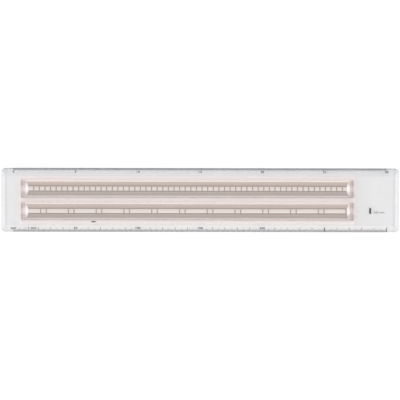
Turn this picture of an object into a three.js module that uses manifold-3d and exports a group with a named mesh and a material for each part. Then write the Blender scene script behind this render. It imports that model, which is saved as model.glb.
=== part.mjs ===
// A clear drafting rule with two graduated slides.
//
// Two acrylic plates are bonded into one 320 mm body. Two long windows run through both plates, and a
// tinted trough slides lengthwise in each window. Each trough has a flange, which is held in a recess
// between the plates, and eight small stops in the ends of the recesses limit the travel.
//
// Units are millimetres. X runs along the rule towards the high end of its scales, Y across it towards
// the upper scale edge, and Z up out of the face that is read. The origin is the middle of the underside.

import * as THREE from "three";
import { mergeVertices } from "three/addons/utils/BufferGeometryUtils.js";
import Module from "manifold-3d";

// Body
const BODY_LENGTH = 320;
const BODY_WIDTH = 51.5;
const BODY_THICKNESS = 4;
const BACK_THICKNESS = 1.2;
const BOND_GAP = 0.05; // film of adhesive between the two plates
const CORNER_RADIUS = 3.5;

// Bevels on the face that is read: how far across they reach, and how far down they drop
const SCALE_BEVEL = { reach: 5.2, drop: 2 };
const END_BEVEL = { reach: 3.2, drop: 1 };
const WINDOW_BEVEL = { reach: 1.2, drop: 0.6 };

// Windows and the recesses behind their rims
const SLOT_CENTRE_X = -10.1; // the windows sit left of the middle, which leaves a blank panel on the right
const SLOT_CENTRE_Y = 9; // and minus this for the lower window
const WINDOW_LENGTH = 261.5;
const WINDOW_WIDTH = 11.3;
const RECESS_WIDTH = 14;
const RECESS_DEPTH = 1;
const STOP_LENGTH = 3;
const STOP_WIDTH = 4.5;

// Slides
const TRAVEL = 1.5; // each way from the middle
const STOP_CLEARANCE = 0.05;
const SIDE_CLEARANCE = 0.15;
const FLANGE_CLEARANCE = 0.05; // above and below the flange
const GROUND_CLEARANCE = 0.2; // and the underside this far above the paper
const RIM_WIDTH = 0.3;
const FLOOR_WIDTH = 3.6;
const FLOOR_THICKNESS = 0.6;
const NOTCH_DEPTH = 1; // hollow in each end of a slide, for a fingernail

// Graduation ribs across the floor of each trough
const RIB_WIDTH = 0.9;
const RIB_HEIGHT = 0.6;
const RIB_ROOT = 0.2; // how far a rib runs into the floor and walls that it joins
const CELL = 4.52; // rib to rib on the upper slide, and across a pair on the lower one
const UPPER_RIBS = 56;
const UPPER_RIB_SHIFT = 0.4; // the ribbed strip is cut to length, so its ribs sit a little off centre
const LONG_CELL = 17.85; // from one pair to the next on the lower slide
const LOWER_PAIRS = 11; // full pairs, before the last single rib

const NOTCH_SEGMENTS = 48;
const CUT_MARGIN = 1; // how far a cutting shape runs past what it cuts

// Values that follow from those above
const FACE_BOTTOM = BACK_THICKNESS + BOND_GAP;
const RECESS_TOP = FACE_BOTTOM + RECESS_DEPTH;
const RECESS_LENGTH = WINDOW_LENGTH + 2 * STOP_LENGTH;
const SLIDE_LENGTH = WINDOW_LENGTH - 2 * (TRAVEL + STOP_CLEARANCE);
const SLIDE_WIDTH = WINDOW_WIDTH - 2 * SIDE_CLEARANCE;
const FLANGE_WIDTH = RECESS_WIDTH - 2 * SIDE_CLEARANCE;
const RIM_Z = BODY_THICKNESS - WINDOW_BEVEL.drop; // level with the foot of the window's bevel
const FLOOR_Z = GROUND_CLEARANCE + FLOOR_THICKNESS;
const WALL_SLOPE = (SLIDE_WIDTH / 2 - RIM_WIDTH - FLOOR_WIDTH / 2) / (RIM_Z - FLOOR_Z);
const SLOTS = { upper: SLOT_CENTRE_Y, lower: -SLOT_CENTRE_Y };

const clearAcrylic = new THREE.MeshStandardMaterial({
  name: "clear_acrylic",
  color: 0xe9ebee,
  roughness: 0.08,
  metalness: 0,
  transparent: true,
  opacity: 0.35,
});
const tintedPlastic = new THREE.MeshStandardMaterial({
  name: "tinted_plastic",
  color: 0xcdb9af,
  roughness: 0.25,
  metalness: 0,
  transparent: true,
  opacity: 0.75,
});
const stopPlastic = new THREE.MeshStandardMaterial({
  name: "stop_plastic",
  color: 0xb3a6a4,
  roughness: 0.5,
  metalness: 0,
});

const wasm = await Module();
wasm.setup();

// A closed three.js geometry as a solid that can be joined and cut.
function solid(geometry) {
  const bare = geometry.clone();
  bare.deleteAttribute("normal");
  bare.deleteAttribute("uv");
  const merged = mergeVertices(bare, 1e-4);
  return new wasm.Manifold(
    new wasm.Mesh({
      numProp: 3,
      vertProperties: merged.attributes.position.array,
      triVerts: new Uint32Array(merged.index.array),
    }),
  );
}

// The solid as a named mesh.
function meshOf(name, body, material) {
  const made = body.getMesh();
  const geometry = new THREE.BufferGeometry();
  geometry.setAttribute("position", new THREE.BufferAttribute(made.vertProperties, 3));
  geometry.setIndex(new THREE.BufferAttribute(made.triVerts, 1));
  geometry.computeVertexNormals();
  const mesh = new THREE.Mesh(geometry, material);
  mesh.name = name;
  return mesh;
}

// A block centred in X and Y that fills the heights from low to high.
function block(length, width, low, high) {
  const geometry = new THREE.BoxGeometry(length, width, high - low);
  return solid(geometry.translate(0, 0, (low + high) / 2));
}

function shapeOf(points) {
  return new THREE.Shape(points.map(([u, v]) => new THREE.Vector2(u, v)));
}

// An outline drawn in Y and Z, extruded along X and centred on it.
function extrudeAlongX(outline, length) {
  const geometry = new THREE.ExtrudeGeometry(outline, { depth: length, bevelEnabled: false });
  const turn = new THREE.Matrix4().makeBasis(
    new THREE.Vector3(0, 1, 0),
    new THREE.Vector3(0, 0, 1),
    new THREE.Vector3(1, 0, 0),
  );
  return solid(geometry.applyMatrix4(turn).translate(-length / 2, 0, 0));
}

// An outline drawn in X and Z, extruded along Y and centred on it.
function extrudeAlongY(outline, length) {
  const geometry = new THREE.ExtrudeGeometry(outline, { depth: length, bevelEnabled: false });
  return solid(geometry.rotateX(Math.PI / 2).translate(0, length / 2, 0));
}

// The plan outline of the body, with round corners, filling the heights from low to high.
function bodyBlank(low, high) {
  const x = BODY_LENGTH / 2 - CORNER_RADIUS;
  const y = BODY_WIDTH / 2 - CORNER_RADIUS;
  const outline = new THREE.Shape();
  outline.absarc(x, -y, CORNER_RADIUS, -Math.PI / 2, 0);
  outline.absarc(x, y, CORNER_RADIUS, 0, Math.PI / 2);
  outline.absarc(-x, y, CORNER_RADIUS, Math.PI / 2, Math.PI);
  outline.absarc(-x, -y, CORNER_RADIUS, Math.PI, 1.5 * Math.PI);
  const geometry = new THREE.ExtrudeGeometry(outline, {
    depth: high - low,
    bevelEnabled: false,
    curveSegments: 8,
  });
  return solid(geometry.translate(0, 0, low));
}

// The section that gives a plate of this full width its two top bevels.
function bevelledSection(width, bevel) {
  const half = width / 2;
  const shoulder = BODY_THICKNESS - bevel.drop;
  return shapeOf([
    [-half, 0],
    [half, 0],
    [half, shoulder],
    [half - bevel.reach, BODY_THICKNESS],
    [bevel.reach - half, BODY_THICKNESS],
    [-half, shoulder],
  ]);
}

// The section that a window's bevel removes: as wide as the window at its foot, and wider above.
function flareSection(width) {
  const foot = width / 2;
  const top = foot + (WINDOW_BEVEL.reach * (WINDOW_BEVEL.drop + CUT_MARGIN)) / WINDOW_BEVEL.drop;
  return shapeOf([
    [-foot, BODY_THICKNESS - WINDOW_BEVEL.drop],
    [foot, BODY_THICKNESS - WINDOW_BEVEL.drop],
    [top, BODY_THICKNESS + CUT_MARGIN],
    [-top, BODY_THICKNESS + CUT_MARGIN],
  ]);
}

// The cutting shapes of one slot, each centred on the slot.
function windowCut() {
  return block(WINDOW_LENGTH, WINDOW_WIDTH, -CUT_MARGIN, BODY_THICKNESS + CUT_MARGIN);
}

function flareCut() {
  const along = extrudeAlongX(flareSection(WINDOW_WIDTH), BODY_LENGTH);
  return along.intersect(extrudeAlongY(flareSection(WINDOW_LENGTH), BODY_WIDTH));
}

function recessCut() {
  return block(RECESS_LENGTH, RECESS_WIDTH, FACE_BOTTOM - CUT_MARGIN, RECESS_TOP);
}

// A plate with these shapes cut from it at both slots.
function cutAtSlots(plate, cuts) {
  const places = Object.values(SLOTS).flatMap((y) => cuts.map((cut) => cut.translate([SLOT_CENTRE_X, y, 0])));
  return places.reduce((left, cut) => left.subtract(cut), plate);
}

function facePlate() {
  const blank = bodyBlank(FACE_BOTTOM, BODY_THICKNESS)
    .intersect(extrudeAlongX(bevelledSection(BODY_WIDTH, SCALE_BEVEL), BODY_LENGTH))
    .intersect(extrudeAlongY(bevelledSection(BODY_LENGTH, END_BEVEL), BODY_WIDTH));
  return cutAtSlots(blank, [windowCut(), flareCut(), recessCut()]);
}

function backPlate() {
  return cutAtSlots(bodyBlank(0, BACK_THICKNESS), [windowCut()]);
}

// The trough's section: a block as wide as the window, a flange on each side, and a sloping channel.
function troughSection() {
  const side = SLIDE_WIDTH / 2;
  const flange = FLANGE_WIDTH / 2;
  const flangeLow = FACE_BOTTOM + FLANGE_CLEARANCE;
  const flangeHigh = RECESS_TOP - FLANGE_CLEARANCE;
  const rightHalf = [
    [side, GROUND_CLEARANCE],
    [side, flangeLow],
    [flange, flangeLow],
    [flange, flangeHigh],
    [side, flangeHigh],
    [side, RIM_Z],
    [side - RIM_WIDTH, RIM_Z],
    [FLOOR_WIDTH / 2, FLOOR_Z],
  ];
  const leftHalf = rightHalf.map(([y, z]) => [-y, z]).reverse();
  return shapeOf([...rightHalf, ...leftHalf]);
}

// One rib across the floor. It widens upwards with the channel and is rooted in the floor and walls.
function rib(x) {
  const low = FLOOR_Z - RIB_ROOT;
  const high = FLOOR_Z + RIB_HEIGHT;
  const halfWidth = (z) => FLOOR_WIDTH / 2 + (z - FLOOR_Z) * WALL_SLOPE + RIB_ROOT;
  const outline = shapeOf([
    [-halfWidth(low), low],
    [halfWidth(low), low],
    [halfWidth(high), high],
    [-halfWidth(high), high],
  ]);
  return extrudeAlongX(outline, RIB_WIDTH).translate([x, 0, 0]);
}

// A fingernail notch: an upright cylinder whose arc is NOTCH_DEPTH deep over the slide's width.
function endNotch(side) {
  const half = SLIDE_WIDTH / 2;
  const radius = (half * half + NOTCH_DEPTH * NOTCH_DEPTH) / (2 * NOTCH_DEPTH);
  const height = BODY_THICKNESS + 2 * CUT_MARGIN;
  const geometry = new THREE.CylinderGeometry(radius, radius, height, NOTCH_SEGMENTS);
  const centre = SLIDE_LENGTH / 2 - NOTCH_DEPTH + radius;
  return solid(geometry.rotateX(Math.PI / 2).translate(side * centre, 0, BODY_THICKNESS / 2));
}

// A slide with its middle at the origin of X and Y.
function slide(ribPlaces) {
  const trough = extrudeAlongX(troughSection(), SLIDE_LENGTH);
  const ribbed = ribPlaces.reduce((body, x) => body.add(rib(x)), trough);
  return ribbed.subtract(endNotch(1)).subtract(endNotch(-1));
}

// Evenly spaced ribs.
function upperRibPlaces() {
  const first = UPPER_RIB_SHIFT - (CELL * (UPPER_RIBS - 1)) / 2;
  return Array.from({ length: UPPER_RIBS }, (_, i) => first + i * CELL);
}

// Pairs of ribs. The row ends with a single rib at the right-hand notch.
function lowerRibPlaces() {
  const last = SLIDE_LENGTH / 2 - NOTCH_DEPTH - RIB_WIDTH / 2;
  const period = CELL + LONG_CELL;
  const pairs = Array.from({ length: LOWER_PAIRS }, (_, i) => last - (LOWER_PAIRS - i) * period);
  return [...pairs.flatMap((x) => [x, x + CELL]), last];
}

// The four stops of one slot. Each fills a corner of the recess, level with the window's end.
function addStops(group, slotName, slotY) {
  const reach = (WINDOW_LENGTH + STOP_LENGTH) / 2;
  const offset = (RECESS_WIDTH - STOP_WIDTH) / 2;
  const low = FACE_BOTTOM;
  const high = RECESS_TOP - FLANGE_CLEARANCE;
  for (const [endName, end] of Object.entries({ left: -1, right: 1 })) {
    for (const [rowName, row] of Object.entries({ top: 1, bottom: -1 })) {
      const geometry = new THREE.BoxGeometry(
        STOP_LENGTH - 2 * STOP_CLEARANCE,
        STOP_WIDTH - 2 * STOP_CLEARANCE,
        high - low,
      );
      const stop = new THREE.Mesh(geometry, stopPlastic);
      stop.name = `${slotName}_${endName}_${rowName}_stop`;
      stop.position.set(SLOT_CENTRE_X + end * reach, slotY + row * offset, (low + high) / 2);
      group.add(stop);
    }
  }
}

const rule = new THREE.Group();
rule.name = "slide_rule";
rule.add(meshOf("face_plate", facePlate(), clearAcrylic));
rule.add(meshOf("back_plate", backPlate(), clearAcrylic));

const ribPlaces = { upper: upperRibPlaces(), lower: lowerRibPlaces() };
for (const [slotName, slotY] of Object.entries(SLOTS)) {
  const trough = meshOf(`${slotName}_slide`, slide(ribPlaces[slotName]), tintedPlastic);
  trough.position.set(SLOT_CENTRE_X, slotY, 0);
  rule.add(trough);
  addStops(rule, slotName, slotY);
}

export default rule;
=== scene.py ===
"""Looks for a clear drafting rule with two tinted slides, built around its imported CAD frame.

Lengths are in metres, in the frame's own axes: X runs along the rule, Y across it and Z up out of the
face that is read. The CAD nodes keep their shape and get procedural materials. The printing is built
here as thin raised pieces that ride on the rule's body.
"""

import math
from collections import Counter

import bmesh
import bpy
from mathutils import Matrix, Vector


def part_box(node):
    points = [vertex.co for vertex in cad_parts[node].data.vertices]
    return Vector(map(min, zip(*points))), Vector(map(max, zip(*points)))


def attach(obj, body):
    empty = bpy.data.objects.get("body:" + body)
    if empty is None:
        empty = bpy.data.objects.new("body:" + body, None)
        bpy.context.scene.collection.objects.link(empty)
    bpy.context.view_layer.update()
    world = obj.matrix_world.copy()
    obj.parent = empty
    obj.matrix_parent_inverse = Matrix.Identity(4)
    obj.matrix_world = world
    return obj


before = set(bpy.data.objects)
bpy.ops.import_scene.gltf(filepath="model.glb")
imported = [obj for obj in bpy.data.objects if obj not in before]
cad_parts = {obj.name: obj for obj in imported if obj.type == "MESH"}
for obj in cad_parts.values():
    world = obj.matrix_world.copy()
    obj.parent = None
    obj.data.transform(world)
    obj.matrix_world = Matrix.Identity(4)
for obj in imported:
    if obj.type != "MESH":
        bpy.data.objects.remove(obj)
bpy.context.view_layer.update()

MM = 0.001
TINY = 0.01 * MM  # two heights or edges closer than this are the same one

# Places read from the frame
BODY_LOW, BODY_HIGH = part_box("face_plate")
HALF_WIDTH = BODY_HIGH.y
TOP_Z = BODY_HIGH.z
BACK_TOP_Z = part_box("back_plate")[1].z
FACE_BOTTOM_Z = BODY_LOW.z
SLIDES = ("upper_slide", "lower_slide")
STOPS = sorted(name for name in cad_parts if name.endswith("_stop"))

# The scales: zero and full reading lie the same distance in from each end of the rule. The upper one
# has fine ticks every half millimetre, and the lower one stronger ticks every millimetre. Both pitches
# are guesses. The entries whose names don't say it all:
#   lengths    a tick's length, by the millimetres that it divides
#   part_step  the length of a tick between two millimetres
#   labels     the words, by the millimetres from zero
#   labelled   the length of a tick that has a label
#   bold       a tick's own length and width, by the millimetres from zero
SCALE_LENGTH = 300 * MM
TICK_EDGE_GAP = 0.15 * MM
LABEL_HEIGHT = 1.9 * MM
LABEL_WEIGHT = 0.08 * MM
LETTER_SPACING = 1.2
UPPER_SCALE = {
    "side": 1,
    "steps_per_mm": 2,
    "width": 0.2 * MM,
    "lengths": {10: 3.3 * MM, 5: 2.9 * MM, 1: 2.1 * MM},
    "part_step": 1.8 * MM,
    "labels": {0: "0", 50: "5", 100: "10", 150: "15", 200: "20", 250: "25", 300: "30"},
    "labelled": 1.9 * MM,
    "label_inset": 3.1 * MM,
    "bold": {},
}
LOWER_SCALE = {
    "side": -1,
    "steps_per_mm": 1,
    "width": 0.35 * MM,
    "lengths": {10: 4.0 * MM, 5: 2.9 * MM, 1: 2.1 * MM},
    "part_step": 0.0,
    "labels": {0: "mm", 15: "1 mm", 50: "50", 100: "100", 150: "150", 200: "200"},
    "labelled": 2.1 * MM,
    "label_inset": 3.15 * MM,
    "bold": {250: (4.2 * MM, 0.7 * MM), 300: (4.2 * MM, 0.55 * MM)},
}

# The other marks, on the level face: a bar's middle in X, its width, and its two ends in Y
RANGE_BAR = (136.6 * MM, 1.5 * MM, (-10.9 * MM, -6.1 * MM))
SLOT_DASH = (-85.5 * MM, 3.6 * MM, (-17.9 * MM, -17.0 * MM))
RANGE_WORDS = "300 mm"
RANGE_WORDS_HEIGHT = 1.7 * MM
RANGE_WORDS_WEIGHT = 0.02 * MM
RANGE_WORDS_PLACE = (143.6 * MM, -9.8 * MM)

# The printing stands this far off the plastic, and is this thick
INK_LIFT = 0.01 * MM
INK_THICKNESS = 0.02 * MM
DIGIT_HEIGHT_SHARE = 0.73  # a digit's height over its font size, in Blender's own font
INK_DARK = 0.012
INK_LIGHT = (0.05, 0.05, 0.058)

# Colours, in linear light. Many tints stand in for light that the plastic would bend, by the way a face
# turns and by its place. "Away" and "far" mean the upper scale's side, and "near" the lower scale's.
PLATE_TINT = (0.685, 0.685, 0.695, 1)
PLATE_WARM_LIGHT = (1.165, 1.07, 1.035, 1)  # painted warm light near the slides, which pass their colour on to the plate
PLATE_BESIDE_SHADE = (0.965, 0.965, 0.955, 1)  # painted shade on the panel right of the slides, strongest close to them
PLATE_AWAY = (0.80, 0.805, 0.83, 1)  # faces that tilt away from the light
PLATE_TOWARDS = (1.23, 1.19, 1.155, 1)  # faces that tilt towards it
PLATE_END_HIGHLIGHT = (1.32, 1.32, 1.33, 1)  # painted highlight on the bevels of the two ends
PLATE_CREST_SHADE = (0.92, 0.92, 0.93, 1)  # painted dark line where an end's bevel, or the far one, begins
PLATE_SLOT_FLOOR_SHADE = (0.94, 0.82, 0.80, 1)  # painted warm shade on the back plate where it shows through a slot
PLATE_LIP_HIGHLIGHT = (1.18, 1.18, 1.19, 1)  # painted highlight line along the far side of each window
PLATE_RECESS_SHADE = (0.90, 0.895, 0.895, 1)  # the wide soft shade along a recess
PLATE_RECESS_WALL_SHADE = (0.80, 0.79, 0.79, 1)  # and the painted dark line of its wall
PLATE_RIM_SHADE = (0.84, 0.85, 0.87, 1)  # painted shade on the thin outer edge, seen through the bevel
PLATE_EDGE_FAR = (0.84, 0.84, 0.85, 1)  # its outermost line, on the side away from the light
PLATE_EDGE_NEAR = (1.14, 1.14, 1.12, 1)  # and on the side towards it
PLATE_SHADE = (0.98, 0.98, 0.98, 1)  # light let through by a level face
PLATE_SHADE_WALL = (0.72, 0.72, 0.72, 1)  # and by an upright one, which bends most of it away
PLATE_SHADE_SLOT = (0.66, 0.50, 0.46, 1)  # and by the walls of the slots, warmed by the slides
HAZE = 0.10  # how much of the plate's look is haze, and how much more a scratch adds
SCRATCH_HAZE = 0.10
HAZE_GREY = 0.62
WALL_TOWARDS_HIGH = (0.49, 0.43, 0.40, 1)  # trough walls that face the light, at the rim
WALL_TOWARDS_LOW = (0.415, 0.345, 0.31, 1)  # and at the floor
# Painted shade on trough walls that face away from the light, at the rim and at the floor
WALL_AWAY_HIGH = (0.37, 0.335, 0.32, 1)
WALL_AWAY_LOW = (0.415, 0.37, 0.34, 1)
FLANGE_FAR = (1.0, 0.92, 0.88, 1)  # lit through the window's chamfer
FLANGE_NEAR = (0.87, 0.80, 0.775, 1)
FLOOR_FAR = (0.645, 0.59, 0.555, 1)  # in the soft shade of the far wall
FLOOR_NEAR = (0.72, 0.665, 0.635, 1)
# painted shade in the creases along a trough's floor
CREASE_SHADE_COLOUR = (0.22, 0.18, 0.16, 1)
CREASE_SHADE_STRENGTH = 0.68
RIB_COLOUR = (0.33, 0.285, 0.265, 1)
SLIDE_CLEAR = (0.80, 0.74, 0.71, 1)
SLIDE_SHADE = (0.95, 0.94, 0.935, 1)  # light let through by a sloping or level face
SLIDE_SHADE_WALL = (0.60, 0.49, 0.45, 1)  # and by an upright one
SLIDE_SOLID = 0.8  # the share of the slides' look that is solid, not clear
STOP_DARK = (0.40, 0.345, 0.34, 1)
STOP_LIGHT = (0.50, 0.44, 0.43, 1)

# How the materials are made
SOFT_EDGE = 0.1 * MM  # the distance over which a mask of a height fades
PLASTIC_IOR = 1.49
NOISE_ROUGHNESS = 0.55
SCRATCH_DEPTH = 0.004 * MM
GRAIN_DEPTH = 0.003 * MM

# Where the painted shade line along each side of a trough's floor is, from the slide's middle: far, then
# near
CREASES = {"upper_slide": (2.3 * MM, -1.75 * MM), "lower_slide": (2.15 * MM, -1.85 * MM)}
FAR_CREASE_WIDTH = (0.15 * MM, 0.35 * MM)  # half the width, and how far it fades
NEAR_CREASE_WIDTH = (0.3 * MM, 0.3 * MM)

# The painted lines that stand for a recess's walls seen through the face: how far in from the recess's
# side each one's middle lies, half its width, and how far it fades
RECESS_SOFT_SHADE = (0.0, 0.25 * MM, 1.6 * MM)
RECESS_NEAR_LINE = (0.0, 0.2 * MM, 0.35 * MM)
RECESS_LEFT_LINE = (0.3 * MM, 0.3 * MM, 0.4 * MM)
RECESS_RIGHT_LINE = (1.5 * MM, 0.9 * MM, 0.5 * MM)
RECESS_LIP = (0.3 * MM, 0.4 * MM, 0.4 * MM)
RECESS_SIDE_FADE = 0.4 * MM
RECESS_CLEARANCE = 0.06 * MM  # from a stop's top to the recess's ceiling

# The painted dark lines just inside the level face's own edge, in the same three numbers
END_CREST = (0.9 * MM, 0.5 * MM, 0.8 * MM)
FAR_CREST = (0.9 * MM, 0.35 * MM, 0.4 * MM)

# How far in from a long edge its rim's painted shade starts, and is full, and the same for its outermost
# painted line
RIM_FADE = (1.9 * MM, 1.1 * MM)
EDGE_FADE = (0.9 * MM, 0.6 * MM)

# How a face turns, as one part of its normal, where a tint or a mask starts and where it is full
TILT_ACROSS = (0.05, 0.35)
TILT_ALONG = (0.05, 0.28)
WALL_TURN = (-0.3, 0.3)  # from trough walls that face the light to those that face away
UPRIGHT_FADE = (0.1, 0.3)
LEVEL_FADE = (0.9, 0.98)

# Across a trough, from the slide's middle: where its floor and its flanges change from the near colour
# to the far one, and where its flanges begin
FLOOR_TURN = (-1.2 * MM, 1.4 * MM)
FLANGE_TURN = (-1 * MM, 1 * MM)
FLANGE_START = (5.45 * MM, 5.6 * MM)

# How far from the slots the painted warm light of the slides reaches, and the strip of painted shade on
# their right
WARM_REACH_LEFT = 4.5 * MM
WARM_REACH_RIGHT = 1 * MM
WARM_REACH_Y = 7 * MM
STRIP_START = 0.8 * MM  # the strip grows over this distance
STRIP_FADE = (2 * MM, 18 * MM)  # and fades between these two

# How round each piece's sharp edges are
FACE_EDGE_RADIUS = 0.12 * MM
BACK_EDGE_RADIUS = 0.08 * MM
SLIDE_EDGE_RADIUS = 0.05 * MM
STOP_EDGE_RADIUS = 0.15 * MM
SHARP_ANGLE = 15  # degrees
WELD_DISTANCE = 0.001 * MM

# The stage
TABLE_HALF = 8.0
TABLE_DROP = 0.15 * MM  # the table lies this far below the rule's underside
WORLD_STRENGTH = 1.08
KEY_PLACE, KEY_SIZE, KEY_POWER = (0, -0.4, 1.25), (1.6, 0.7), 5.5
FRAME_WIDTH = 321.9 * MM  # what the picture spans at the rule
CAMERA_SHIFT = (-0.06 * MM, 0.1 * MM)
CAMERA_TURN = 0.1  # degrees
CAMERA_LENS, CAMERA_SENSOR = 100.0, 36.0
MANY_BOUNCES, GLOSSY_BOUNCES = 32, 16


# ---------------------------------------------------------------- shapes, from the meshes


def points_of(name):
    return [vertex.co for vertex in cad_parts[name].data.vertices]


def middle_and_half(low, high):
    """The middle between two values or two corners, and half the distance between them."""
    return (low + high) / 2, (high - low) / 2


def flat_half_length():
    """How far from the middle the level top face reaches along the rule."""
    return max(abs(p.x) for p in points_of("face_plate") if p.z > TOP_Z - TINY)


def bevel_of_the_long_edges():
    """Height of the plate at its long edges, and how far in from the edge its flat face starts."""
    points = points_of("face_plate")
    edge_z = max(p.z for p in points if abs(p.y) > HALF_WIDTH - TINY)
    flat_half_width = max(abs(p.y) for p in points if p.z > TOP_Z - TINY)
    return edge_z, HALF_WIDTH - flat_half_width


FLAT_HALF_LENGTH = flat_half_length()
EDGE_Z, BEVEL_REACH = bevel_of_the_long_edges()
BEVEL_SLOPE = (TOP_Z - EDGE_Z) / BEVEL_REACH
BEVEL_ANGLE = math.atan(BEVEL_SLOPE)


def floor_of_the_slide(name):
    """Height of the trough's floor, and of its ribs' tops: the two heights with most vertices."""
    low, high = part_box(name)
    middle = (low.y + high.y) / 2
    trough, margin = 3.5 * MM, 0.1 * MM
    heights = Counter(
        round(p.z, 5)
        for p in points_of(name)
        if abs(p.y - middle) < trough and low.z + margin < p.z < high.z - margin
    )
    return sorted(height for height, _ in heights.most_common(2))


# ---------------------------------------------------------------- node trees


class Tree:
    """A material's node tree, with short calls that add nodes and link them."""

    def __init__(self, name):
        self.material = bpy.data.materials.new(name)
        self.material.use_nodes = True
        self.tree = self.material.node_tree
        self.tree.nodes.clear()
        self.coordinates = self.node("ShaderNodeTexCoord").outputs["Object"]

    def node(self, kind, inputs=None, **settings):
        made = self.tree.nodes.new(kind)
        for name, value in settings.items():
            setattr(made, name, value)
        for name, value in (inputs or {}).items():
            self.put(value, made.inputs[name])
        return made

    def put(self, value, socket):
        """Links a socket to an input, or sets the input's own value."""
        if isinstance(value, bpy.types.NodeSocket):
            self.tree.links.new(value, socket)
        else:
            socket.default_value = value

    def math(self, operation, a, b=0.0):
        made = self.node("ShaderNodeMath", operation=operation)
        self.put(a, made.inputs[0])
        self.put(b, made.inputs[1])
        return made.outputs[0]

    def fade(self, value, start, end, low=0.0, high=1.0):
        """low up to start, high from end on, and a smooth change between them."""
        settings = {
            "Value": value,
            "From Min": start,
            "From Max": end,
            "To Min": low,
            "To Max": high,
        }
        made = self.node("ShaderNodeMapRange", settings, interpolation_type="SMOOTHSTEP")
        return made.outputs["Result"]

    def times(self, a, b):
        return self.math("MULTIPLY", a, b)

    def band(self, value, centre, half_width, soft):
        """One within half_width of the centre, and fading to nothing over the distance soft."""
        away = self.math("ABSOLUTE", self.math("SUBTRACT", value, centre))
        return self.fade(away, half_width, half_width + soft, 1.0, 0.0)

    def within(self, value, centre, half_width):
        """One within half_width of the centre, and nothing outside it."""
        away = self.math("ABSOLUTE", self.math("SUBTRACT", value, centre))
        return self.math("LESS_THAN", away, half_width)

    def mix(self, factor, a, b, blend_type="MIX"):
        """Two colours mixed. The node's colour sockets come after those for numbers and vectors."""
        made = self.node("ShaderNodeMix", data_type="RGBA", blend_type=blend_type)
        self.put(factor, made.inputs["Factor"])
        self.put(a, made.inputs[6])
        self.put(b, made.inputs[7])
        return made.outputs[2]

    def stain(self, mask, tint, colour):
        """The tint, multiplied by a colour where the mask is one."""
        return self.mix(mask, tint, self.mix(1.0, tint, colour, "MULTIPLY"))

    def blend(self, factor, a, b):
        """A shader that goes from a to b as factor goes from 0 to 1."""
        made = self.node("ShaderNodeMixShader")
        self.put(factor, made.inputs[0])
        self.put(a, made.inputs[1])
        self.put(b, made.inputs[2])
        return made.outputs[0]

    def place(self):
        """Where the point is in the rest frame, as separate X, Y and Z."""
        split = self.node("ShaderNodeSeparateXYZ", {"Vector": self.coordinates})
        return split.outputs["X"], split.outputs["Y"], split.outputs["Z"]

    def normal(self):
        """The surface's true direction, as separate X, Y and Z."""
        geometry = self.node("ShaderNodeNewGeometry")
        split = self.node("ShaderNodeSeparateXYZ", {"Vector": geometry.outputs["True Normal"]})
        return split.outputs["X"], split.outputs["Y"], split.outputs["Z"]

    def noise(self, size, stretch=(1, 1, 1), detail=3.0):
        """Noise with lumps of about this size, stretched along the axes by these factors."""
        scale = tuple(1 / (size * s) for s in stretch)
        mapped = self.node("ShaderNodeMapping", {"Vector": self.coordinates, "Scale": scale})
        settings = {
            "Vector": mapped.outputs["Vector"],
            "Scale": 1.0,
            "Detail": detail,
            "Roughness": NOISE_ROUGHNESS,
        }
        return self.node("ShaderNodeTexNoise", settings).outputs["Fac"]

    def bump(self, height, distance):
        settings = {"Height": height, "Distance": distance, "Strength": 1.0}
        return self.node("ShaderNodeBump", settings).outputs["Normal"]

    def finish(self, shader):
        output = self.node("ShaderNodeOutputMaterial")
        self.put(shader, output.inputs["Surface"])
        return self.material


def grey(value):
    return (value, value, value, 1)


def multiply(a, b):
    return tuple(p * q for p, q in zip(a, b))


# ---------------------------------------------------------------- materials


def scratches(t):
    """Fine hairlines, mostly along the rule, as a rule gets from sliding over paper."""
    along = t.noise(0.12 * MM, stretch=(60, 1, 1), detail=1.0)
    slant = t.noise(0.16 * MM, stretch=(9, 1, 1), detail=2.0)
    return t.math("MAXIMUM", t.fade(along, 0.62, 0.72), t.fade(slant, 0.66, 0.78, 0.0, 0.7))


def upright(t, normal_z):
    """One on upright faces, and nothing on sloping and level ones."""
    return t.fade(t.math("ABSOLUTE", normal_z), *UPRIGHT_FADE, 1.0, 0.0)


def rays_that_light(t):
    """One for the rays that carry light past a clear piece, and nothing for those that show it."""
    path = t.node("ShaderNodeLightPath").outputs
    return t.math("MAXIMUM", path["Is Shadow Ray"], path["Is Diffuse Ray"])


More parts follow.
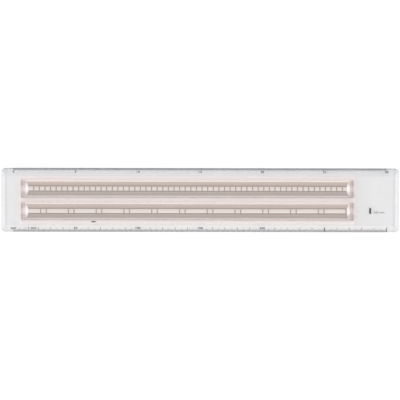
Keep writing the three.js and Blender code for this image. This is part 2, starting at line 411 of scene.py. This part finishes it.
def clear_acrylic():
    """Polished clear acrylic with hairline scratches, a slight haze, and painted light and shade in its
    tint.
    """
    t = Tree("clear_acrylic")
    x, y, z = t.place()
    normal_x, normal_y, normal_z = t.normal()
    worn = scratches(t)
    smear = t.noise(14 * MM, detail=2.0)

    # Inside the recesses, down to the back plate that is their floor, which gets a painted warm shade
    in_slots = inside_the_slots(t, x, y)
    middle, half = middle_and_half(BACK_TOP_Z, recess_ceiling())
    inner = t.times(in_slots, t.band(z, middle, half, SOFT_EDGE))
    slot_floor = t.fade(z, BACK_TOP_Z + 2 * SOFT_EDGE, BACK_TOP_Z + 4 * SOFT_EDGE, 1.0, 0.0)
    inner_tint = t.mix(slot_floor, grey(1.0), PLATE_SLOT_FLOOR_SHADE)
    tint = t.mix(inner, plate_tint(t, x, y, normal_x, normal_y), inner_tint)
    roughness = t.math("ADD", t.fade(smear, 0.35, 0.7, 0.015, 0.06), t.times(worn, 0.12))
    bumped = t.bump(worn, SCRATCH_DEPTH)
    glass = t.node(
        "ShaderNodeBsdfPrincipled",
        {
            "Base Color": tint,
            "Roughness": roughness,
            "IOR": PLASTIC_IOR,
            "Transmission Weight": 1.0,
            "Normal": bumped,
        },
    ).outputs[0]

    # Haze from wear, where a face is seen from outside the plastic
    front = t.math("SUBTRACT", 1.0, t.node("ShaderNodeNewGeometry").outputs["Backfacing"])
    haze = t.node("ShaderNodeBsdfDiffuse", {"Color": grey(HAZE_GREY), "Normal": bumped}).outputs[0]
    amount = t.times(front, t.math("ADD", t.times(worn, SCRATCH_HAZE), HAZE))
    seen = t.blend(amount, glass, haze)

    wall = upright(t, normal_z)
    wall_shade = t.mix(near_the_slots(t, x, y), PLATE_SHADE_WALL, PLATE_SHADE_SLOT)
    shade = t.mix(wall, PLATE_SHADE, wall_shade)
    lit = t.node("ShaderNodeBsdfTransparent", {"Color": shade}).outputs[0]
    surface = t.blend(rays_that_light(t), seen, lit)

    # The bonded faces of the two plates are in optical contact, so light passes straight through them,
    # except where a recess leaves air between them
    bonded = t.times(bond_zone(t, z, normal_z), t.math("SUBTRACT", 1.0, in_slots))
    nothing = t.node("ShaderNodeBsdfTransparent", {"Color": grey(1.0)}).outputs[0]
    return t.finish(t.blend(bonded, surface, nothing))


def recess_ceiling():
    """Height of the recesses' ceilings, just above the stops."""
    return max(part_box(stop)[1].z for stop in STOPS) + RECESS_CLEARANCE


def plate_tint(t, x, y, normal_x, normal_y):
    """The plate's tint, with painted light and shade: by the way a face tilts, by how near the slides
    are, and along the recesses.
    """
    # Painted warm light near the slides
    tint = t.mix(near_the_slots(t, x, y), PLATE_TINT, multiply(PLATE_TINT, PLATE_WARM_LIGHT))
    # Painted shade on the panel just right of the slides
    tint = t.stain(right_of_the_slots(t, x, y), tint, PLATE_BESIDE_SHADE)
    tint = t.stain(t.fade(normal_y, *TILT_ACROSS), tint, PLATE_AWAY)
    tint = t.stain(t.fade(normal_y, -TILT_ACROSS[0], -TILT_ACROSS[1]), tint, PLATE_TOWARDS)
    # Painted highlight on the end bevels
    tint = t.stain(t.fade(t.math("ABSOLUTE", normal_x), *TILT_ALONG), tint, PLATE_END_HIGHLIGHT)

    # Painted shade, dark lines and a highlight line along the recesses
    shade, line, lip = recess_lines(t, x, y)
    tint = t.stain(shade, tint, PLATE_RECESS_SHADE)
    tint = t.stain(line, tint, PLATE_RECESS_WALL_SHADE)
    # Painted dark lines where the bevels begin
    end_crest = line_inside(t, t.math("ABSOLUTE", x), FLAT_HALF_LENGTH, END_CREST)
    far_crest = line_inside(t, y, HALF_WIDTH - BEVEL_REACH, FAR_CREST)
    tint = t.stain(t.math("MAXIMUM", end_crest, far_crest), tint, PLATE_CREST_SHADE)
    tint = t.stain(lip, tint, PLATE_LIP_HIGHLIGHT)

    # Painted shade on the rim, and painted shade and highlight on its outermost line
    rim_start, rim_end = (HALF_WIDTH - inset for inset in RIM_FADE)
    tint = t.stain(t.fade(t.math("ABSOLUTE", y), rim_start, rim_end), tint, PLATE_RIM_SHADE)
    edge_start, edge_end = (HALF_WIDTH - inset for inset in EDGE_FADE)
    tint = t.stain(t.fade(y, edge_start, edge_end), tint, PLATE_EDGE_FAR)
    return t.stain(t.fade(y, -edge_start, -edge_end), tint, PLATE_EDGE_NEAR)


def line_inside(t, value, side, line, inwards=-1):
    """A mask of a line beside a side. Inwards is the direction from that side to the middle."""
    inset, half_width, soft = line
    return t.band(value, side + inwards * inset, half_width, soft)


def recess_lines(t, x, y):
    """Masks of the painted light and shade that stand for the recesses' walls seen through the face: a
    soft shade, dark lines, a highlight line.
    """
    shade, line, lip = 0.0, 0.0, 0.0
    for name in SLIDES:
        low, high = recess_box(name)
        middle, half = middle_and_half(low, high)
        within_x = t.band(x, middle.x, half.x, RECESS_SIDE_FADE)
        within_y = t.band(y, middle.y, half.y, RECESS_SIDE_FADE)
        soft = t.times(within_x, line_inside(t, y, low.y, RECESS_SOFT_SHADE, 1))
        near_wall = t.times(within_x, line_inside(t, y, low.y, RECESS_NEAR_LINE, 1))
        left_wall = t.times(within_y, line_inside(t, x, low.x, RECESS_LEFT_LINE, 1))
        right_wall = t.times(within_y, line_inside(t, x, high.x, RECESS_RIGHT_LINE))
        far_wall = t.times(within_x, line_inside(t, y, high.y, RECESS_LIP))
        shade = t.math("MAXIMUM", shade, soft)
        lip = t.math("MAXIMUM", lip, far_wall)
        for wall in (near_wall, left_wall, right_wall):
            line = t.math("MAXIMUM", line, wall)
    return shade, line, lip


def recess_box(name):
    """The plan of the recess that a slide runs in, out to the far ends of its stops."""
    row = [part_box(stop) for stop in STOPS if stop.startswith(name.split("_")[0])]
    low = Vector((min(b[0].x for b in row), min(b[0].y for b in row)))
    high = Vector((max(b[1].x for b in row), max(b[1].y for b in row)))
    return low, high


def both_recesses():
    """The plan of the smallest box round both recesses."""
    corners = [recess_box(name) for name in SLIDES]
    low = Vector((min(c[0].x for c in corners), min(c[0].y for c in corners)))
    high = Vector((max(c[1].x for c in corners), max(c[1].y for c in corners)))
    return low, high


def near_the_slots(t, x, y):
    """One over the slots and between them, and nothing well away from them."""
    low, high = both_recesses()
    from_left = t.fade(x, low.x - WARM_REACH_LEFT, low.x)
    to_right = t.fade(x, high.x, high.x + WARM_REACH_RIGHT, 1.0, 0.0)
    return t.times(t.times(from_left, to_right), level_with_the_slots(t, y))


def right_of_the_slots(t, x, y):
    """One just right of the slots, and fading to nothing across the panel there."""
    low, high = both_recesses()
    start = t.fade(x, high.x, high.x + STRIP_START)
    end = t.fade(x, high.x + STRIP_FADE[0], high.x + STRIP_FADE[1], 1.0, 0.0)
    return t.times(t.times(start, end), level_with_the_slots(t, y))


def level_with_the_slots(t, y):
    """One over the slots' own span in Y, and nothing well beyond it on either side."""
    low, high = both_recesses()
    middle, half = middle_and_half(low.y, high.y)
    return t.band(y, middle, half, WARM_REACH_Y)


def bond_zone(t, z, normal_z):
    """One on the level faces that the two plates turn to each other."""
    middle, half = middle_and_half(BACK_TOP_Z, FACE_BOTTOM_Z)
    near = t.within(z, middle, half + TINY)
    level = t.math("GREATER_THAN", t.math("ABSOLUTE", normal_z), LEVEL_FADE[0])
    return t.times(near, level)


def inside_the_slots(t, x, y):
    """One within the plan of either recess."""
    inside = 0.0
    for name in SLIDES:
        middle, half = middle_and_half(*recess_box(name))
        in_x = t.within(x, middle.x, half.x)
        in_y = t.within(y, middle.y, half.y)
        inside = t.math("MAXIMUM", inside, t.times(in_x, in_y))
    return inside


def tinted_plastic(name):
    """Smoky translucent plastic: pale flanges, darker ribs, painted light and shade on its walls and
    floor, and painted shade in the creases.
    """
    t = Tree(name + "_plastic")
    _, y, z = t.place()
    _, normal_y, normal_z = t.normal()
    low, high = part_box(name)
    floor_z, rib_z = floor_of_the_slide(name)
    sideways = t.math("SUBTRACT", y, (low.y + high.y) / 2)
    across = t.math("ABSOLUTE", sideways)

    level = t.fade(normal_z, *LEVEL_FADE)
    on_floor = t.times(level, t.fade(z, floor_z + SOFT_EDGE, floor_z + 2 * SOFT_EDGE, 1.0, 0.0))
    on_rib = t.times(level, t.band(z, rib_z, SOFT_EDGE, SOFT_EDGE))
    depth = t.fade(z, floor_z, high.z, 1.0, 0.0)
    far, near = CREASES[name]
    far_crease = t.band(sideways, far, *FAR_CREASE_WIDTH)
    near_crease = t.band(sideways, near, *NEAR_CREASE_WIDTH)
    crease = t.math("MAXIMUM", far_crease, near_crease)

    # Painted light and shade: walls by the way they face the light and by depth, the floor by its
    # distance from the far wall
    towards = t.mix(depth, WALL_TOWARDS_HIGH, WALL_TOWARDS_LOW)
    away = t.mix(depth, WALL_AWAY_HIGH, WALL_AWAY_LOW)
    wall = t.mix(t.fade(normal_y, *WALL_TURN), towards, away)
    floor = t.mix(t.fade(sideways, *FLOOR_TURN), FLOOR_NEAR, FLOOR_FAR)
    colour = t.mix(on_floor, wall, floor)
    flange = t.mix(t.fade(sideways, *FLANGE_TURN), FLANGE_NEAR, FLANGE_FAR)
    colour = t.mix(t.fade(across, *FLANGE_START), colour, flange)
    # Painted shade in the creases along the floor's sides
    colour = t.mix(t.times(crease, CREASE_SHADE_STRENGTH), colour, CREASE_SHADE_COLOUR)
    colour = t.mix(on_rib, colour, RIB_COLOUR)
    streak = t.noise(0.5 * MM, stretch=(40, 1, 1), detail=3.0)
    colour = t.mix(t.fade(streak, 0.35, 0.7, 0.0, 0.12), colour, grey(0.2))

    grain = t.noise(0.08 * MM, detail=2.0)
    worn = scratches(t)
    height = t.math("ADD", t.times(grain, 0.4), worn)
    solid = t.node(
        "ShaderNodeBsdfPrincipled",
        {
            "Base Color": colour,
            "Roughness": t.fade(grain, 0.3, 0.7, 0.22, 0.38),
            "IOR": PLASTIC_IOR,
            "Normal": t.bump(height, GRAIN_DEPTH),
        },
    ).outputs[0]
    clear = t.node("ShaderNodeBsdfTransparent", {"Color": SLIDE_CLEAR}).outputs[0]
    seen = t.blend(SLIDE_SOLID, clear, solid)
    shade = t.mix(upright(t, normal_z), SLIDE_SHADE, SLIDE_SHADE_WALL)
    lit = t.node("ShaderNodeBsdfTransparent", {"Color": shade}).outputs[0]
    return t.finish(t.blend(rays_that_light(t), seen, lit))


def stop_plastic():
    """Satin grey-brown plastic with a moulded grain."""
    t = Tree("stop_plastic")
    grain = t.noise(0.15 * MM, detail=4.0)
    colour = t.mix(t.fade(grain, 0.35, 0.65), STOP_DARK, STOP_LIGHT)
    body = t.node(
        "ShaderNodeBsdfPrincipled",
        {
            "Base Color": colour,
            "Roughness": t.fade(grain, 0.3, 0.7, 0.4, 0.6),
            "Normal": t.bump(grain, 0.01 * MM),
        },
    ).outputs[0]
    return t.finish(body)


def ink(name, strength):
    """Screen-printed ink, dark and slightly uneven, and paler where its strength is below 1."""
    t = Tree(name)
    patch = t.noise(0.35 * MM, detail=4.0)
    dark = grey(INK_DARK / strength)
    light = tuple(part / strength for part in INK_LIGHT) + (1,)
    body = t.node(
        "ShaderNodeBsdfPrincipled",
        {
            "Base Color": t.mix(t.fade(patch, 0.4, 0.75), dark, light),
            "Roughness": t.fade(patch, 0.3, 0.7, 0.35, 0.6),
            "Normal": t.bump(patch, SCRATCH_DEPTH),
        },
    ).outputs[0]
    return t.finish(body)


def table_top():
    """A plain pale surface with the faintest grain."""
    t = Tree("table_top")
    grain = t.noise(3 * MM, detail=2.0)
    colour = t.mix(grain, grey(0.925), grey(0.945))
    body = t.node("ShaderNodeBsdfDiffuse", {"Color": colour}).outputs[0]
    return t.finish(body)


# ---------------------------------------------------------------- CAD nodes: rounded edges and finish


def finish_node(name, material, edge_radius):
    """Gives a CAD node its material, and rounds its sharp edges as moulding and polishing would."""
    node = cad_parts[name]
    node.data.materials.clear()
    node.data.materials.append(material)
    weld = node.modifiers.new("weld", "WELD")
    weld.merge_threshold = WELD_DISTANCE
    bevel = node.modifiers.new("rounded_edges", "BEVEL")
    bevel.width = edge_radius
    bevel.segments = 2
    bevel.limit_method = "ANGLE"
    bevel.angle_limit = math.radians(SHARP_ANGLE)


acrylic = clear_acrylic()
finish_node("face_plate", acrylic, FACE_EDGE_RADIUS)
finish_node("back_plate", acrylic, BACK_EDGE_RADIUS)
for slide in SLIDES:
    finish_node(slide, tinted_plastic(slide), SLIDE_EDGE_RADIUS)
satin = stop_plastic()
for stop in STOPS:
    finish_node(stop, satin, STOP_EDGE_RADIUS)


# ---------------------------------------------------------------- printing


def print_piece(name, fill, material):
    """A thin printed piece on the rule's body. The function fill puts its shape into an empty bmesh."""
    mesh = bpy.data.meshes.new(name)
    shape = bmesh.new()
    fill(shape)
    bmesh.ops.recalc_face_normals(shape, faces=shape.faces)
    shape.to_mesh(mesh)
    shape.free()
    mesh.materials.append(material)
    piece = bpy.data.objects.new(name, mesh)
    bpy.context.scene.collection.objects.link(piece)
    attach(piece, "rule_body")


def add_bar(shape, x, width, ends, matrix):
    """A thin bar between two Y places, as thick as the ink, carried into place by the matrix."""
    corners = []
    for z in (INK_LIFT, INK_LIFT + INK_THICKNESS):
        for dx, y in ((-1, ends[0]), (1, ends[0]), (1, ends[1]), (-1, ends[1])):
            corners.append(shape.verts.new(matrix @ Vector((x + dx * width / 2, y, z))))
    bottom, top = corners[:4], corners[4:]
    shape.faces.new(bottom[::-1])
    shape.faces.new(top)
    for i in range(4):
        j = (i + 1) % 4
        shape.faces.new((bottom[i], bottom[j], top[j], top[i]))


def on_bevel(side):
    """From a flat drawing whose Y is 0 at the long edge and grows inwards, to the edge's bevel."""
    if side > 0:
        tilt = Matrix.Rotation(math.pi, 4, "Z") @ Matrix.Rotation(BEVEL_ANGLE, 4, "X")
    else:
        tilt = Matrix.Rotation(BEVEL_ANGLE, 4, "X")
    return Matrix.Translation((0, side * HALF_WIDTH, EDGE_Z)) @ tilt


def tick_size(scale, step):
    """Length and width of the tick at this count of steps from zero."""
    reading, part = divmod(step, scale["steps_per_mm"])
    if part:
        return scale["part_step"], scale["width"]
    if reading in scale["bold"]:
        return scale["bold"][reading]
    if reading in scale["labels"]:
        return scale["labelled"], scale["width"]
    length = next(size for unit, size in scale["lengths"].items() if reading % unit == 0)
    return length, scale["width"]


def scale_ticks(scale):
    """The function that fills a bmesh with a scale's ticks."""

    def fill(shape):
        steps = round(SCALE_LENGTH / MM) * scale["steps_per_mm"]
        for step in range(steps + 1):
            x = SCALE_LENGTH * (step / steps - 0.5)
            length, width = tick_size(scale, step)
            add_bar(shape, x, width, (TICK_EDGE_GAP, length), on_bevel(scale["side"]))

    return fill


def add_words(shape, words, height, matrix, weight):
    """Words in Blender's own font, centred on the matrix's origin, and thickened by the weight."""
    curve = bpy.data.curves.new("words", "FONT")
    curve.body = words
    curve.size = height / DIGIT_HEIGHT_SHARE
    curve.space_character = LETTER_SPACING
    curve.align_x = "CENTER"
    curve.align_y = "CENTER"
    curve.extrude = INK_THICKNESS / 2
    curve.offset = weight
    curve.resolution_u = 4
    holder = bpy.data.objects.new("words", curve)
    bpy.context.scene.collection.objects.link(holder)
    bpy.context.view_layer.update()
    evaluated = holder.evaluated_get(bpy.context.evaluated_depsgraph_get())
    mesh = bpy.data.meshes.new_from_object(evaluated)
    mesh.transform(matrix @ Matrix.Translation((0, 0, INK_LIFT + INK_THICKNESS / 2)))
    shape.from_mesh(mesh)
    bpy.data.objects.remove(holder)
    bpy.data.curves.remove(curve)
    bpy.data.meshes.remove(mesh)


def bevel_words_place(side, x, inset):
    """A place for upright words on a long edge's bevel, this far in from the edge."""
    slope = Matrix.Rotation(-side * BEVEL_ANGLE, 4, "X")
    place = (x, side * (HALF_WIDTH - inset), EDGE_Z + inset * BEVEL_SLOPE)
    return Matrix.Translation(place) @ slope


def scale_labels(scale):
    """The function that fills a bmesh with a scale's labels."""

    def fill(shape):
        for reading, words in scale["labels"].items():
            x = reading * MM - SCALE_LENGTH / 2
            place = bevel_words_place(scale["side"], x, scale["label_inset"])
            add_words(shape, words, LABEL_HEIGHT, place, LABEL_WEIGHT)

    return fill


def top_place(x, y):
    return Matrix.Translation((x, y, TOP_Z))


def range_mark_bar(shape):
    """A plain upright bar on the blank panel, before the scale's range."""
    add_bar(shape, *RANGE_BAR, top_place(0, 0))


def range_mark_words(shape):
    place = top_place(*RANGE_WORDS_PLACE)
    add_words(shape, RANGE_WORDS, RANGE_WORDS_HEIGHT, place, RANGE_WORDS_WEIGHT)


def slot_mark(shape):
    """A short dash under the lower slot."""
    add_bar(shape, *SLOT_DASH, top_place(0, 0))


black = ink("scale_ink", 1.0)
pale = ink("thin_ink", 0.5)
print_piece("upper_scale_ticks", scale_ticks(UPPER_SCALE), black)
print_piece("lower_scale_ticks", scale_ticks(LOWER_SCALE), black)
print_piece("upper_scale_labels", scale_labels(UPPER_SCALE), black)
print_piece("lower_scale_labels", scale_labels(LOWER_SCALE), black)
print_piece("range_mark_bar", range_mark_bar, black)
print_piece("range_mark_words", range_mark_words, pale)
print_piece("slot_mark", slot_mark, black)


# ---------------------------------------------------------------- stage: table, light and camera


def table():
    """One wide level face, just under the rule."""
    mesh = bpy.data.meshes.new("table")
    shape = bmesh.new()
    plan = ((-1, -1), (1, -1), (1, 1), (-1, 1))
    corners = [shape.verts.new((x * TABLE_HALF, y * TABLE_HALF, -TABLE_DROP)) for x, y in plan]
    shape.faces.new(corners)
    shape.to_mesh(mesh)
    shape.free()
    mesh.materials.append(table_top())
    made = bpy.data.objects.new("table", mesh)
    bpy.context.scene.collection.objects.link(made)


def white_world(strength):
    """The same white light from every side."""
    world = bpy.data.worlds.new("soft_white_room")
    world.use_nodes = True
    background = world.node_tree.nodes["Background"]
    background.inputs["Color"].default_value = (1, 1, 1, 1)
    background.inputs["Strength"].default_value = strength
    bpy.context.scene.world = world


def softbox(name, place, size, power):
    """A wide soft lamp that points at the middle of the rule."""
    lamp = bpy.data.lights.new(name, "AREA")
    lamp.shape = "RECTANGLE"
    lamp.size, lamp.size_y = size
    lamp.energy = power
    made = bpy.data.objects.new(name, lamp)
    made.location = place
    made.rotation_euler = (-Vector(place)).to_track_quat("-Z", "Y").to_euler()
    made.visible_camera = False
    bpy.context.scene.collection.objects.link(made)


def camera():
    """Straight above the rule, with a long lens. The rule lies turned by a hair in the picture."""
    data = bpy.data.cameras.new("camera")
    data.lens = CAMERA_LENS
    data.sensor_width = CAMERA_SENSOR
    made = bpy.data.objects.new("camera", data)
    made.location = (*CAMERA_SHIFT, TOP_Z / 2 + FRAME_WIDTH * CAMERA_LENS / CAMERA_SENSOR)
    made.rotation_euler.z = math.radians(CAMERA_TURN)
    bpy.context.scene.collection.objects.link(made)
    bpy.context.scene.camera = made


table()
white_world(WORLD_STRENGTH)
softbox("key", KEY_PLACE, KEY_SIZE, KEY_POWER)
camera()
bpy.context.scene.view_settings.view_transform = "Standard"

# A slanting ray crosses many clear faces, and would end black if it were cut off
cycles = bpy.context.scene.cycles
cycles.transparent_max_bounces = MANY_BOUNCES
cycles.max_bounces = MANY_BOUNCES
cycles.transmission_bounces = MANY_BOUNCES
cycles.glossy_bounces = GLOSSY_BOUNCES
